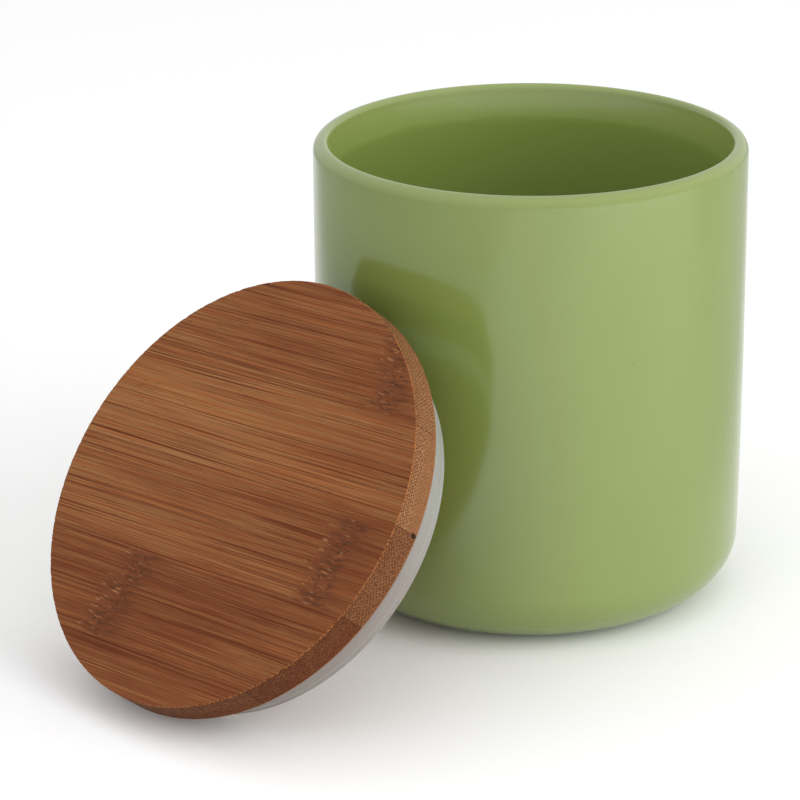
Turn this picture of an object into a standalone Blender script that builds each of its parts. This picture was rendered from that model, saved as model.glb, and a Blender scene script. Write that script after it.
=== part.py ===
"""A round glazed storage jar, with its bamboo lid taken off and leaning against it.

Lengths are in metres. The jar stands on z = 0 with its axis on the z axis. Its mouth flares a little, which
guides the lid in. The lid is a board of bamboo strips glued edge to edge. A grooved plug of such strips is glued under it, with its glue lines between the
board's, and carries a silicone sealing ring with three lips, which press on the inside of the jar's mouth.
Taken off, the lid stands on its lowest sealing lip and leans on the jar's wall.
"""

import math

import bmesh
import bpy
from mathutils import Matrix, Vector

# Jar
JAR_RADIUS = 0.0500
JAR_HEIGHT = 0.1087
WALL = 0.0044
LIP_OUTER_ROUND = 0.0025
LIP_INNER_ROUND = 0.0011
MOUTH_FLARE = 0.0016
FLARE_DEPTH = 0.0110
FLOOR_THICKNESS = 0.0045
DRAW_IN = 0.0006
DRAW_IN_START = 0.0650
CORNER_WIDTH = 0.0160
CORNER_HEIGHT = 0.0136
INNER_CORNER = 0.0120
FOOT_HEIGHT = 0.0005
FOOT_RING_WIDTH = 0.0028
FOOT_RECESS = 0.0010
FOOT_EDGE = 0.0003

# Lid board, as wide as the jar and a little over
LID_OVERHANG = 0.0007
BOARD_THICKNESS = 0.0075
BOARD_EDGE = 0.0002

# Bamboo strips that the board and the plug are glued up from: the whole ones, 22 mm wide, share the width
# that the two at the rim leave, which are trimmed to these widths on their lower and upper side
BOARD_WHOLE_STRIPS = 4
BOARD_LOWER_TRIM = 0.0103
BOARD_UPPER_TRIM = 0.0031
PLUG_WHOLE_STRIPS = 3
PLUG_LOWER_TRIM = 0.0145
PLUG_UPPER_TRIM = 0.0073
GLUE_GAP = 0.0001
GRAIN_TURN = math.radians(3.5)

# Plug under the board, with a groove round it and a narrow land below the groove
PLUG_CLEARANCE = 0.0019
GROOVE_START = 0.0033
GROOVE_WIDTH = 0.0073
GROOVE_DEPTH = 0.0018
PLUG_LAND = 0.0013
PLUG_EDGE = 0.0010

# Silicone sealing ring in the groove
SEAL_GAP = 0.0003
SEAL_GRIP = 0.0006
SEAL_LIPS = 3
LIP_PITCH = 0.00205
LIP_REACH = 0.0016
LIP_TIP = 0.0003
LEADING_LIP_RELIEF = 0.0003

# Where the lid leans: the bearing of its middle seen from the jar's axis, and how far its face looks up
LID_BEARING = math.radians(222.3)
LID_LEAN = math.radians(38.65)
LEAN_GAP = 0.0003

# Facets round a full turn, a multiple of four so that a corner lies at the lid's lowest and highest points
ROUND_STEPS = 80
LIP_STEPS = 4
FLARE_STEPS = 4
CORNER_STEPS = 7
DRAW_IN_STEPS = 4

# Colours
GLAZE_GREEN = (0.29, 0.39, 0.12)
BAMBOO_BROWN = (0.27, 0.11, 0.045)
PLUG_BROWN = (0.31, 0.15, 0.07)
SILICONE_GREY = (0.52, 0.51, 0.47)

# Sizes that follow from those above. The mouth's radius is taken half way down the sealing ring.
CORNER_TOP = FOOT_HEIGHT + CORNER_HEIGHT
FOOT_RADIUS = JAR_RADIUS - DRAW_IN - CORNER_WIDTH
FLOOR_TOP = FOOT_RECESS + FLOOR_THICKNESS
SEAL_MIDDLE = GROOVE_START + GROOVE_WIDTH / 2
MOUTH_RADIUS = JAR_RADIUS - WALL + MOUTH_FLARE * max(0.0, 1 - SEAL_MIDDLE / FLARE_DEPTH) ** 2
LID_RADIUS = JAR_RADIUS + LID_OVERHANG
PLUG_RADIUS = MOUTH_RADIUS - PLUG_CLEARANCE
PLUG_DEPTH = GROOVE_START + GROOVE_WIDTH + PLUG_LAND
GROOVE_RADIUS = PLUG_RADIUS - GROOVE_DEPTH
SEAL_RADIUS = MOUTH_RADIUS + SEAL_GRIP
SEAL_TOP = BOARD_THICKNESS + GROOVE_START + SEAL_GAP
SEAL_HEIGHT = GROOVE_WIDTH - 2 * SEAL_GAP


def clear_scene():
    for thing in list(bpy.context.scene.objects):
        bpy.data.objects.remove(thing, do_unlink=True)


def finish(name, colour, roughness):
    """A plain Principled material."""
    made = bpy.data.materials.new(name)
    made.use_nodes = True
    shader = made.node_tree.nodes["Principled BSDF"]
    shader.inputs["Base Color"].default_value = (*colour, 1.0)
    shader.inputs["Roughness"].default_value = roughness
    shader.inputs["Metallic"].default_value = 0.0
    made.diffuse_color = (*colour, 1.0)
    return made


def arc(centre, width, height, start, end, steps):
    """Points of an elliptic arc in the profile plane, from one angle in degrees to another."""
    points = []
    for step in range(steps + 1):
        angle = math.radians(start + (end - start) * step / steps)
        points.append((centre[0] + width * math.cos(angle), centre[1] + height * math.sin(angle)))
    return points


def turned(profile, ring=False):
    """A body of revolution round z. The profile runs from axis to axis, or closes on itself for a ring."""
    shape = bmesh.new()
    points = [shape.verts.new((radius, 0.0, height)) for radius, height in profile]
    edges = [shape.edges.new(pair) for pair in zip(points, points[1:])]
    if ring:
        edges.append(shape.edges.new((points[-1], points[0])))
    bmesh.ops.spin(
        shape,
        geom=points + edges,
        cent=(0.0, 0.0, 0.0),
        axis=(0.0, 0.0, 1.0),
        angle=2 * math.pi,
        steps=ROUND_STEPS,
        use_merge=True,
    )
    bmesh.ops.remove_doubles(shape, verts=shape.verts, dist=1e-6)
    bmesh.ops.recalc_face_normals(shape, faces=shape.faces)
    return shape


def piece(name, shape, material, parent=None):
    """Makes an object of a bmesh, smooth except at edges sharper than 35 degrees."""
    mesh = bpy.data.meshes.new(name)
    shape.to_mesh(mesh)
    shape.free()
    mesh.materials.append(material)
    mesh.shade_smooth()
    mesh.set_sharp_from_angle(angle=math.radians(35))
    made = bpy.data.objects.new(name, mesh)
    bpy.context.scene.collection.objects.link(made)
    made.parent = parent
    return made


def wall_radius(height):
    """Outer radius of the jar's wall: straight above, drawn in by a square law towards the foot."""
    below = max(0.0, DRAW_IN_START - height) / (DRAW_IN_START - CORNER_TOP)
    return JAR_RADIUS - DRAW_IN * below**2


def inside_radius(height):
    """Radius of the jar's inside: the wall's thickness within the wall, and wider by a square law at the mouth."""
    above = max(0.0, 1 - (JAR_HEIGHT - height) / FLARE_DEPTH)
    return wall_radius(height) - WALL + MOUTH_FLARE * above**2


def stretch(radius, low, high, steps):
    """Points of the section between two heights, from low to high, where a function gives the radius."""
    heights = [low + (high - low) * step / steps for step in range(steps + 1)]
    return [(radius(height), height) for height in heights]


def jar_profile():
    """The jar's section: recess and foot ring, bottom corner, wall, round lip, inside and floor."""
    ring_inside = FOOT_RADIUS - FOOT_RING_WIDTH
    crest = JAR_RADIUS - LIP_OUTER_ROUND
    flare_top = JAR_HEIGHT - LIP_INNER_ROUND
    inside_low = FLOOR_TOP + INNER_CORNER
    corner_radius = inside_radius(inside_low)
    underside = [
        (0.0, FOOT_RECESS),
        (ring_inside - FOOT_RECESS, FOOT_RECESS),
        (ring_inside, FOOT_EDGE),
        (ring_inside + FOOT_EDGE, 0.0),
        (FOOT_RADIUS - FOOT_EDGE, 0.0),
    ]
    corner = arc((FOOT_RADIUS, CORNER_TOP), CORNER_WIDTH, CORNER_HEIGHT, -90, 0, CORNER_STEPS)
    outside = stretch(wall_radius, CORNER_TOP, DRAW_IN_START, DRAW_IN_STEPS)[1:]
    outer_centre = (crest, JAR_HEIGHT - LIP_OUTER_ROUND)
    outer_lip = arc(outer_centre, LIP_OUTER_ROUND, LIP_OUTER_ROUND, 0, 90, LIP_STEPS)
    inner_width = crest - inside_radius(flare_top)
    inner_lip = arc((crest, flare_top), inner_width, LIP_INNER_ROUND, 90, 180, LIP_STEPS)[1:]
    flare = stretch(inside_radius, JAR_HEIGHT - FLARE_DEPTH, flare_top, FLARE_STEPS)[-2::-1]
    inside = stretch(inside_radius, inside_low, DRAW_IN_START, DRAW_IN_STEPS)[:0:-1]
    inner_centre = (corner_radius - INNER_CORNER, inside_low)
    inner_corner = arc(inner_centre, INNER_CORNER, INNER_CORNER, 0, -90, CORNER_STEPS)
    lip = outer_lip + inner_lip
    return underside + corner + outside + lip + flare + inside + inner_corner + [(0.0, FLOOR_TOP)]


def board_profile():
    """The board's section, with a small bevel along both edges. Its top face is at z = 0."""
    straight = LID_RADIUS - BOARD_EDGE
    return [
        (0.0, 0.0),
        (straight, 0.0),
        (LID_RADIUS, -BOARD_EDGE),
        (LID_RADIUS, BOARD_EDGE - BOARD_THICKNESS),
        (straight, -BOARD_THICKNESS),
        (0.0, -BOARD_THICKNESS),
    ]


def glue_lines(radius, lower_trim, upper_trim, whole_strips):
    """A disc's glue lines, across the grain: one past each trimmed strip and whole strips between them."""
    lowest = lower_trim - radius
    strip_width = (2 * radius - lower_trim - upper_trim) / whole_strips
    return [lowest + strip_width * index for index in range(whole_strips + 1)]


def cut_beyond(shape, place, side):
    """Cuts away what lies beyond a plane across the grain, and closes the cut."""
    across = Vector((-math.sin(GRAIN_TURN), math.cos(GRAIN_TURN), 0.0))
    bmesh.ops.bisect_plane(
        shape,
        geom=shape.verts[:] + shape.edges[:] + shape.faces[:],
        plane_co=across * place,
        plane_no=across * side,
        clear_outer=True,
    )
    open_edges = [edge for edge in shape.edges if edge.is_boundary]
    bmesh.ops.holes_fill(shape, edges=open_edges, sides=0)


def add_strips(name, profile, lines, material, parent):
    """A turned disc as separate strips, one glue gap apart, numbered from its lower side."""
    lows = [None] + lines
    highs = lines + [None]
    for number, (low, high) in enumerate(zip(lows, highs), start=1):
        shape = turned(profile)
        if low is not None:
            cut_beyond(shape, low + GLUE_GAP / 2, -1)
        if high is not None:
            cut_beyond(shape, high - GLUE_GAP / 2, 1)
        bmesh.ops.recalc_face_normals(shape, faces=shape.faces)
        piece(f"{name}_{number}", shape, material, parent)


def plug_profile():
    """The plug's section under the board, with the groove for the seal and a bevelled lower edge."""
    top = -BOARD_THICKNESS - GLUE_GAP
    groove_top = -BOARD_THICKNESS - GROOVE_START
    groove_foot = groove_top - GROOVE_WIDTH
    foot = -BOARD_THICKNESS - PLUG_DEPTH
    return [
        (0.0, top),
        (PLUG_RADIUS, top),
        (PLUG_RADIUS, groove_top),
        (GROOVE_RADIUS, groove_top),
        (GROOVE_RADIUS, groove_foot),
        (PLUG_RADIUS, groove_foot),
        (PLUG_RADIUS, foot + PLUG_EDGE),
        (PLUG_RADIUS - PLUG_EDGE, foot),
        (0.0, foot),
    ]


def lip_tips():
    """Radius and depth below the board's top face of each sealing lip's tip, from the board downwards.

    The lips sit evenly about the ring's middle, and the one that enters the jar first is a little smaller.
    """
    middle = SEAL_TOP + SEAL_HEIGHT / 2 + LIP_PITCH / 4
    tips = []
    for index in range(SEAL_LIPS):
        relief = LEADING_LIP_RELIEF if index == SEAL_LIPS - 1 else 0.0
        tips.append((SEAL_RADIUS - relief, middle + LIP_PITCH * (index - (SEAL_LIPS - 1) / 2)))
    return tips


def seal_profile():
    """The sealing ring's section: a band in the groove, with lips like a fir tree on its outside."""
    root = SEAL_RADIUS - LIP_REACH
    inside = GROOVE_RADIUS + SEAL_GAP
    valley = LIP_PITCH / 2
    foot = SEAL_TOP + SEAL_HEIGHT
    points = [(inside, -SEAL_TOP), (root, -SEAL_TOP)]
    for radius, depth in lip_tips():
        points += [
            (root, valley - depth),
            (radius - LIP_TIP, LIP_TIP - depth),
            (radius, -depth),
            (radius - LIP_TIP, -depth - LIP_TIP),
        ]
    last_depth = lip_tips()[-1][1]
    points += [(root, -(last_depth + foot) / 2), (root, -foot), (inside, -foot)]
    return points


def leaning_place():
    """Where the middle of the lid's top face goes, so that the lid stands on z = 0 and leans on the wall.

    Each rim that could touch is a radius and a depth below the top face. The lowest point of a rim lies
    depth x sin + radius x cos below the middle, and its highest point reaches depth x cos + radius x sin
    towards the jar.
    """
    plug_foot = BOARD_THICKNESS + PLUG_DEPTH
    rims = [
        (LID_RADIUS, BOARD_THICKNESS - BOARD_EDGE),
        (LID_RADIUS - BOARD_EDGE, BOARD_THICKNESS),
        (PLUG_RADIUS, plug_foot - PLUG_EDGE),
        (PLUG_RADIUS - PLUG_EDGE, plug_foot),
        *lip_tips(),
    ]
    up = math.sin(LID_LEAN)
    along = math.cos(LID_LEAN)
    height = max(depth * up + radius * along for radius, depth in rims)
    reach = max(depth * along + radius * up for radius, depth in rims)
    distance = JAR_RADIUS + LEAN_GAP + reach
    return Vector((distance * math.cos(LID_BEARING), distance * math.sin(LID_BEARING), height))


def lid_frame():
    """An empty at the middle of the lid's top face: z out of the face, y up its slope."""
    outward = Vector(
        (
            math.cos(LID_LEAN) * math.cos(LID_BEARING),
            math.cos(LID_LEAN) * math.sin(LID_BEARING),
            math.sin(LID_LEAN),
        )
    )
    level = Vector((-math.sin(LID_BEARING), math.cos(LID_BEARING), 0.0))
    turn = Matrix((level, outward.cross(level), outward)).transposed()
    frame = bpy.data.objects.new("lid_frame", None)
    bpy.context.scene.collection.objects.link(frame)
    frame.matrix_world = Matrix.Translation(leaning_place()) @ turn.to_4x4()
    return frame


def build():
    clear_scene()
    glaze = finish("green_glaze", GLAZE_GREEN, 0.12)
    bamboo = finish("brown_bamboo", BAMBOO_BROWN, 0.5)
    plug_wood = finish("plug_bamboo", PLUG_BROWN, 0.6)
    silicone = finish("grey_silicone", SILICONE_GREY, 0.35)
    piece("jar_body", turned(jar_profile()), glaze)
    frame = lid_frame()
    board_lines = glue_lines(LID_RADIUS, BOARD_LOWER_TRIM, BOARD_UPPER_TRIM, BOARD_WHOLE_STRIPS)
    plug_lines = glue_lines(PLUG_RADIUS, PLUG_LOWER_TRIM, PLUG_UPPER_TRIM, PLUG_WHOLE_STRIPS)
    add_strips("lid_strip", board_profile(), board_lines, bamboo, frame)
    add_strips("plug_strip", plug_profile(), plug_lines, plug_wood, frame)
    piece("seal_ring", turned(seal_profile(), ring=True), silicone, frame)


build()
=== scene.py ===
"""The storage jar as it looks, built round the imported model: green glaze, brown bamboo and a pale ring.

Lengths are in metres, and in millimetres within the materials. The jar stands on z = 0 with its axis on the
z axis. Pieces of the lid are worked out in the lid's own directions and put in their place in the mesh: along
the grain, across it, and up out of the board's top face.
"""

import math

import bmesh
import bpy
import numpy as np
from mathutils import Matrix


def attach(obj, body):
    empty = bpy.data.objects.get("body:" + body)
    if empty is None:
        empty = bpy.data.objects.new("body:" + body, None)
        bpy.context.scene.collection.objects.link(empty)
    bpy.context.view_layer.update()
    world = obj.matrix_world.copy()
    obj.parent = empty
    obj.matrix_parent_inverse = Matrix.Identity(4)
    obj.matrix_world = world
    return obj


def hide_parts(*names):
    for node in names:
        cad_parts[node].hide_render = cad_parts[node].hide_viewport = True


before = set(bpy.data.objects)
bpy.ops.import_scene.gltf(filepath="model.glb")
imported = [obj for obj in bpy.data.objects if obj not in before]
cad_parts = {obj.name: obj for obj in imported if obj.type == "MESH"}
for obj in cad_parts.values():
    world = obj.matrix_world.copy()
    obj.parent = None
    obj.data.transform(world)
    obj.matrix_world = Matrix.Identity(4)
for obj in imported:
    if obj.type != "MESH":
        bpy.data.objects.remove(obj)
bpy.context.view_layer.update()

# Jar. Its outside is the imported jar's; its wall is 0.4 mm thicker, all of it inwards, as its mouth looks.
JAR_RADIUS = 0.0500
JAR_HEIGHT = 0.1087
WALL = 0.0048
LIP_OUTER_ROUND = 0.0025
LIP_INNER_ROUND = 0.0015
LIP_INNER_TURN = 168
LIP_BLEND = 0.0004
MOUTH_FLARE = 0.00152
FLARE_DEPTH = 0.0090
FLARE_POWER = 1.3
DRAW_IN = 0.0006
DRAW_IN_START = 0.0650
CORNER_WIDTH = 0.0160
CORNER_TOP = 0.0141
CORNER_HEIGHT = 0.0136
INNER_CORNER = 0.0120
FOOT_RADIUS = JAR_RADIUS - DRAW_IN - CORNER_WIDTH
FOOT_RING_WIDTH = 0.0028
FOOT_RECESS = 0.0010
FOOT_EDGE = 0.0003
FLOOR_TOP = 0.0055
SLOW_UNEVENNESS = 0.000022
FINE_UNEVENNESS = 0.000006
GLAZED_HEIGHTS = (0.0006, 0.0060)
GLAZED_RADII = (0.0, 0.0100)
JAR_STEPS = 320

# Lid board
LID_RADIUS = 0.05066
BOARD_THICKNESS = 0.0075
BOARD_ARRIS = 0.00022
BOARD_LINES = (-0.0404, -0.0184, 0.0036, 0.0256, 0.0476)
GLUE_HALF = 0.00001
ARRIS_INSET = 0.00002
BOARD_ROW_STEP = 0.00026
BOARD_COLUMN_STEP = 0.0007
RIDGE_DEPTH = 0.000007
WAVE_DEPTH = 0.000012
CHIP_DEPTH = 0.00016
CHIPPED_HEIGHTS = (-0.0007, -0.0001)
CHIP_SIZE = 0.0006
CHIP_LEVEL = 0.1
TURNING_DEPTH = 0.000008
TURNING_LENGTH = 0.0040
TURNING_PITCH = 0.0004
TURNED_RADII = (LID_RADIUS - 0.0015, LID_RADIUS - 0.0004)
ARRIS_FADE = 0.0004
ARRIS_LEVELS = 3

# The fibres on the board's faces: how long and how wide a ridge or a wave is, and its seed
RIDGES = (0.0110, 0.00042, 21)
FINE_RIDGES = (0.0050, 0.00027, 22)
FINE_RIDGE_SHARE = 0.6
WAVES = (0.0300, 0.0060, 23)

# Plug
PLUG_RADIUS = 0.0439
PLUG_TOP = 0.00752
PLUG_FOOT = 0.0194
GROOVE_TOP = 0.0108
GROOVE_FOOT = 0.0181
GROOVE_RADIUS = 0.0421
PLUG_EDGE = 0.0010
PLUG_INSET = 0.00002
GROOVE_EDGE = 0.00008
PLUG_ROW_STEP = 0.0005
PLUG_COLUMN_STEP = 0.0012
PLUG_LINES = (-0.0294, -0.0074, 0.0146, 0.0366)

# Silicone ring
SEAL_TOP = 0.0111
SEAL_FOOT = 0.0178
SEAL_INSIDE = 0.0424
SEAL_ROOT = 0.0448
RIBS = ((0.04632, 0.01285), (0.04635, 0.01496), (0.04606, 0.01698))
RIB_DIPS = (0.00002, 0.00012)
SEAL_EDGE = 0.0003
SEAL_SHOULDER = 0.0002
SEAL_WAVINESS = 0.00004
SEAL_STEPS = 360

# The lid's directions: which way and how far it leans, and how the grain is turned on its face
LID_BEARING = math.radians(222.3)
LID_LEAN = math.radians(38.65)
GRAIN_TURN = math.radians(3.5)
MILLIMETRES = 1000.0

SHARP_ANGLE = math.radians(60.0)
MERGE_DISTANCE = 2e-7
TABLE_SIDE = 64
NOISE_SLANT = 0.37

# A line far outside any disc, for the side of an outer strip where the disc's rim ends it
FAR_LINE = 1.0


def lid_directions():
    """Unit vectors along the grain, across it up the slope, and out of the board's top face."""
    facing = np.array(
        [
            math.cos(LID_LEAN) * math.cos(LID_BEARING),
            math.cos(LID_LEAN) * math.sin(LID_BEARING),
            math.sin(LID_LEAN),
        ]
    )
    level = np.array([-math.sin(LID_BEARING), math.cos(LID_BEARING), 0.0])
    slope = np.cross(facing, level)
    grain = math.cos(GRAIN_TURN) * level + math.sin(GRAIN_TURN) * slope
    across = math.cos(GRAIN_TURN) * slope - math.sin(GRAIN_TURN) * level
    return np.array([grain, across, facing])


def node_points(names):
    """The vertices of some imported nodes, one row each."""
    rows = []
    for name in names:
        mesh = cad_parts[name].data
        flat = np.empty(len(mesh.vertices) * 3)
        mesh.vertices.foreach_get("co", flat)
        rows.append(flat.reshape(-1, 3))
    return np.concatenate(rows)


LID_AXES = lid_directions()
BOARD_NODES = [f"lid_strip_{number}" for number in range(1, 7)]
PLUG_NODES = [f"plug_strip_{number}" for number in range(1, 6)]


def lid_middle():
    """The middle of the board's top face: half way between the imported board's ends, at its highest face."""
    local = node_points(BOARD_NODES) @ LID_AXES.T
    low = local.min(axis=0)
    high = local.max(axis=0)
    return np.array([(low[0] + high[0]) / 2, (low[1] + high[1]) / 2, high[2]]) @ LID_AXES


LID_MIDDLE = lid_middle()


# Numbers that vary smoothly at random


def rough(u, v, seed):
    """Random height from -1 to 1: drawn at whole u and v, and blended between them by a smooth step."""
    table = np.random.default_rng(seed).uniform(-1.0, 1.0, (TABLE_SIDE, TABLE_SIDE))
    u0 = np.floor(u).astype(int)
    v0 = np.floor(v).astype(int)
    fu = u - u0
    fv = v - v0
    fu = fu * fu * (3 - 2 * fu)
    fv = fv * fv * (3 - 2 * fv)
    u0, u1 = u0 % TABLE_SIDE, (u0 + 1) % TABLE_SIDE
    v0, v1 = v0 % TABLE_SIDE, (v0 + 1) % TABLE_SIDE
    low = table[u0, v0] * (1 - fu) + table[u1, v0] * fu
    high = table[u0, v1] * (1 - fu) + table[u1, v1] * fu
    return low * (1 - fv) + high * fv


def rough_round(angle, height, waves, size, seed):
    """Random height round a turned body: rough() read on a circle of that many waves, so that it closes. The
    circle moves aslant over rough()'s table as the height grows."""
    reach = waves / (2 * math.pi)
    east = reach * np.cos(angle)
    north = reach * np.sin(angle)
    return rough(east + height / size, north + NOISE_SLANT * height / size, seed)


def smooth_step(value, low, high):
    """0 below low, 1 above high, and 3 t^2 - 2 t^3 between, where t runs from 0 to 1."""
    t = np.clip((value - low) / (high - low), 0.0, 1.0)
    return t * t * (3 - 2 * t)


# Meshes


def make_piece(name, points, faces, finish):
    """An object of points and four-sided faces. Points that coincide become one, so seams and poles are
    closed, and the normals of the closed shell are turned outwards."""
    mesh = bpy.data.meshes.new(name)
    mesh.vertices.add(len(points))
    mesh.vertices.foreach_set("co", np.ascontiguousarray(points, dtype=np.float32).ravel())
    mesh.loops.add(faces.size)
    mesh.loops.foreach_set("vertex_index", np.ascontiguousarray(faces, dtype=np.int32).ravel())
    mesh.polygons.add(len(faces))
    mesh.polygons.foreach_set("loop_start", np.arange(len(faces), dtype=np.int32) * 4)
    mesh.update(calc_edges=True)
    shape = bmesh.new()
    shape.from_mesh(mesh)
    bmesh.ops.remove_doubles(shape, verts=shape.verts, dist=MERGE_DISTANCE)
    bmesh.ops.recalc_face_normals(shape, faces=shape.faces)
    shape.to_mesh(mesh)
    shape.free()
    mesh.validate()
    mesh.shade_smooth()
    mesh.set_sharp_from_angle(angle=SHARP_ANGLE)
    mesh.materials.append(finish)
    made = bpy.data.objects.new(name, mesh)
    bpy.context.scene.collection.objects.link(made)
    return made


def grid_faces(rows, columns, start=0, round_columns=False, round_rows=False):
    """Corner numbers of the faces of a grid of points that is numbered row by row."""
    r = np.arange(rows if round_rows else rows - 1)
    c = np.arange(columns if round_columns else columns - 1)
    r, c = [part.ravel() for part in np.meshgrid(r, c, indexing="ij")]
    r1 = (r + 1) % rows
    c1 = (c + 1) % columns
    corners = np.stack([r * columns + c, r1 * columns + c, r1 * columns + c1, r * columns + c1], axis=1)
    return corners + start


def lid_points(along, across, up):
    """Points given along the grain, across it and up from the board's top face, as points of the scene."""
    local = np.stack([along, across, up], axis=-1).reshape(-1, 3)
    return LID_MIDDLE + local @ LID_AXES


def arc_points(centre, width, height, start, end, steps):
    """Points of an elliptic arc: the centre plus width x cos and height x sin of evenly spaced angles."""
    angle = np.radians(np.linspace(start, end, steps + 1))
    return np.stack([centre[0] + width * np.cos(angle), centre[1] + height * np.sin(angle)], axis=1)


def straight_points(start, end, steps):
    """Evenly spaced points of a straight stretch of a section."""
    share = np.linspace(0.0, 1.0, steps + 1)[:, None]
    return np.array(start) * (1 - share) + np.array(end) * share


# Jar


def wall_radius(height):
    """Outer radius: straight above, drawn in by a square law towards the foot."""
    below = np.clip(DRAW_IN_START - height, 0.0, None) / (DRAW_IN_START - CORNER_TOP)
    return JAR_RADIUS - DRAW_IN * below**2


def inside_radius(height):
    """Radius of the inside: the wall's thickness within the wall, and wider by a power law at the mouth."""
    above = np.clip(1 - (JAR_HEIGHT - height) / FLARE_DEPTH, 0.0, None)
    return wall_radius(height) - WALL + MOUTH_FLARE * above**FLARE_POWER


def wall_points(radius, low, high, steps):
    """Points between two heights where a function gives the radius."""
    height = np.linspace(low, high, steps + 1)
    return np.stack([radius(height), height], axis=1)


def jar_section():
    """The jar's section from axis to axis: underside, foot ring, corner, wall, lip, inside and floor.

    The lip's inner round stops short of upright, at LIP_INNER_TURN degrees, and the flare begins LIP_BLEND
    below it, so that a short chord joins their two slopes.
    """
    ring_inside = FOOT_RADIUS - FOOT_RING_WIDTH
    crest = JAR_RADIUS - LIP_OUTER_ROUND
    flare_top = JAR_HEIGHT - LIP_INNER_ROUND
    flare_foot = JAR_HEIGHT - FLARE_DEPTH
    inner_width = crest - float(inside_radius(np.array(flare_top)))
    inside_low = FLOOR_TOP + INNER_CORNER
    corner_radius = float(inside_radius(np.array(inside_low)))
    stretches = [
        straight_points((0.0, FOOT_RECESS), (ring_inside - FOOT_RECESS, FOOT_RECESS), 14),
        straight_points((ring_inside - FOOT_RECESS, FOOT_RECESS), (ring_inside, FOOT_EDGE), 4),
        arc_points((ring_inside + FOOT_EDGE, FOOT_EDGE), FOOT_EDGE, FOOT_EDGE, 180, 270, 4),
        straight_points((ring_inside + FOOT_EDGE, 0.0), (FOOT_RADIUS - FOOT_EDGE, 0.0), 5),
        arc_points((FOOT_RADIUS, CORNER_TOP), CORNER_WIDTH, CORNER_HEIGHT, -90, 0, 28),
        wall_points(wall_radius, CORNER_TOP, DRAW_IN_START, 26),
        wall_points(wall_radius, DRAW_IN_START, JAR_HEIGHT - LIP_OUTER_ROUND, 20),
        arc_points((crest, JAR_HEIGHT - LIP_OUTER_ROUND), LIP_OUTER_ROUND, LIP_OUTER_ROUND, 0, 90, 16),
        arc_points((crest, flare_top), inner_width, LIP_INNER_ROUND, 90, LIP_INNER_TURN, 12),
        wall_points(inside_radius, flare_foot, flare_top - LIP_BLEND, 18)[::-1],
        wall_points(inside_radius, inside_low, flare_foot, 34)[::-1],
        arc_points((corner_radius - INNER_CORNER, inside_low), INNER_CORNER, INNER_CORNER, 0, -90, 18),
        straight_points((corner_radius - INNER_CORNER, FLOOR_TOP), (0.0, FLOOR_TOP), 16),
    ]
    section = [stretches[0]]
    for stretch in stretches[1:]:
        same = np.allclose(stretch[0], section[-1][-1], atol=1e-9)
        section.append(stretch[1:] if same else stretch)
    return np.concatenate(section)


def make_jar(finish):
    """The jar: its section turned round z. Glaze that ran a little before it set leaves the radius uneven by
    a few hundredths of a millimetre, always inwards, but not at the foot ring or near the axis."""
    section = jar_section()
    angle = np.arange(JAR_STEPS) * 2 * math.pi / JAR_STEPS
    radius = section[:, :1]
    height = section[:, 1:]
    slow = rough_round(angle, height, waves=9.0, size=0.024, seed=11)
    fine = rough_round(angle, height, waves=30.0, size=0.009, seed=12)
    unevenness = SLOW_UNEVENNESS * (slow + 1) + FINE_UNEVENNESS * (fine + 1)
    glazed = smooth_step(height, *GLAZED_HEIGHTS) * smooth_step(radius, *GLAZED_RADII)
    outside = radius - unevenness * glazed
    points = np.stack(
        [outside * np.cos(angle), outside * np.sin(angle), np.broadcast_to(height, outside.shape)], axis=-1
    )
    faces = grid_faces(len(section), JAR_STEPS, round_columns=True)
    jar = make_piece("glazed_jar", points.reshape(-1, 3), faces, finish)
    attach(jar, "jar")
    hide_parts("jar_body")


# Bamboo strips


def strip_surface(radius, inset, up, low, high, row_step, column_step):
    """A strip cut from a turned disc between two lines across the grain.

    radius, inset and up give the disc's section, level by level: the disc's radius, how far the strip's sides
    stand back from its lines, and the height. At each level the strip is r x cos(t) long to either side at
    r x sin(t) across, with t in equal steps between asin(low / r) and asin(high / r), which keeps the round
    ends smooth. The first and last levels are filled with a grid of rows and columns, about row_step and
    column_step apart. Returns the points along the grain, across it and up, and the faces.
    """
    low_line = np.maximum(low + inset, -radius)
    high_line = np.minimum(high - inset, radius)
    first = np.arcsin(low_line / radius)
    last = np.arcsin(high_line / radius)
    rows = max(6, int(radius.max() * (last - first).max() / row_step) + 1)
    nearest = 0.0 if first[0] < 0 < last[0] else min(abs(first[0]), abs(last[0]))
    columns = max(8, int(2 * radius.max() * math.cos(nearest) / column_step) + 1)
    share = np.linspace(0.0, 1.0, rows)
    turn = first[:, None] * (1 - share) + last[:, None] * share
    end_along = radius[:, None] * np.cos(turn)
    end_across = radius[:, None] * np.sin(turn)
    spread = np.linspace(1.0, -1.0, columns)
    top_along = end_along[:, -1:] * spread
    foot_along = end_along[:, :1] * spread[::-1]
    loop_along = np.concatenate(
        [end_along, top_along[:, 1:], -end_along[:, -2::-1], foot_along[:, 1:-1]], axis=1
    )
    flat = np.ones(columns)
    loop_across = np.concatenate(
        [
            end_across,
            (end_across[:, -1:] * flat)[:, 1:],
            end_across[:, -2::-1],
            (end_across[:, :1] * flat)[:, 1:-1],
        ],
        axis=1,
    )
    levels, around = loop_along.shape
    along = [loop_along.ravel()]
    across = [loop_across.ravel()]
    heights = [np.repeat(up, around)]
    faces = [grid_faces(levels, around, round_columns=True)]
    start = levels * around
    for level in (0, levels - 1):
        along.append((end_along[level][:, None] * spread).ravel())
        across.append((end_across[level][:, None] * flat).ravel())
        heights.append(np.full(rows * columns, up[level]))
        faces.append(grid_faces(rows, columns, start=start))
        start += rows * columns
    return np.concatenate(along), np.concatenate(across), np.concatenate(heights), np.concatenate(faces)


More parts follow.
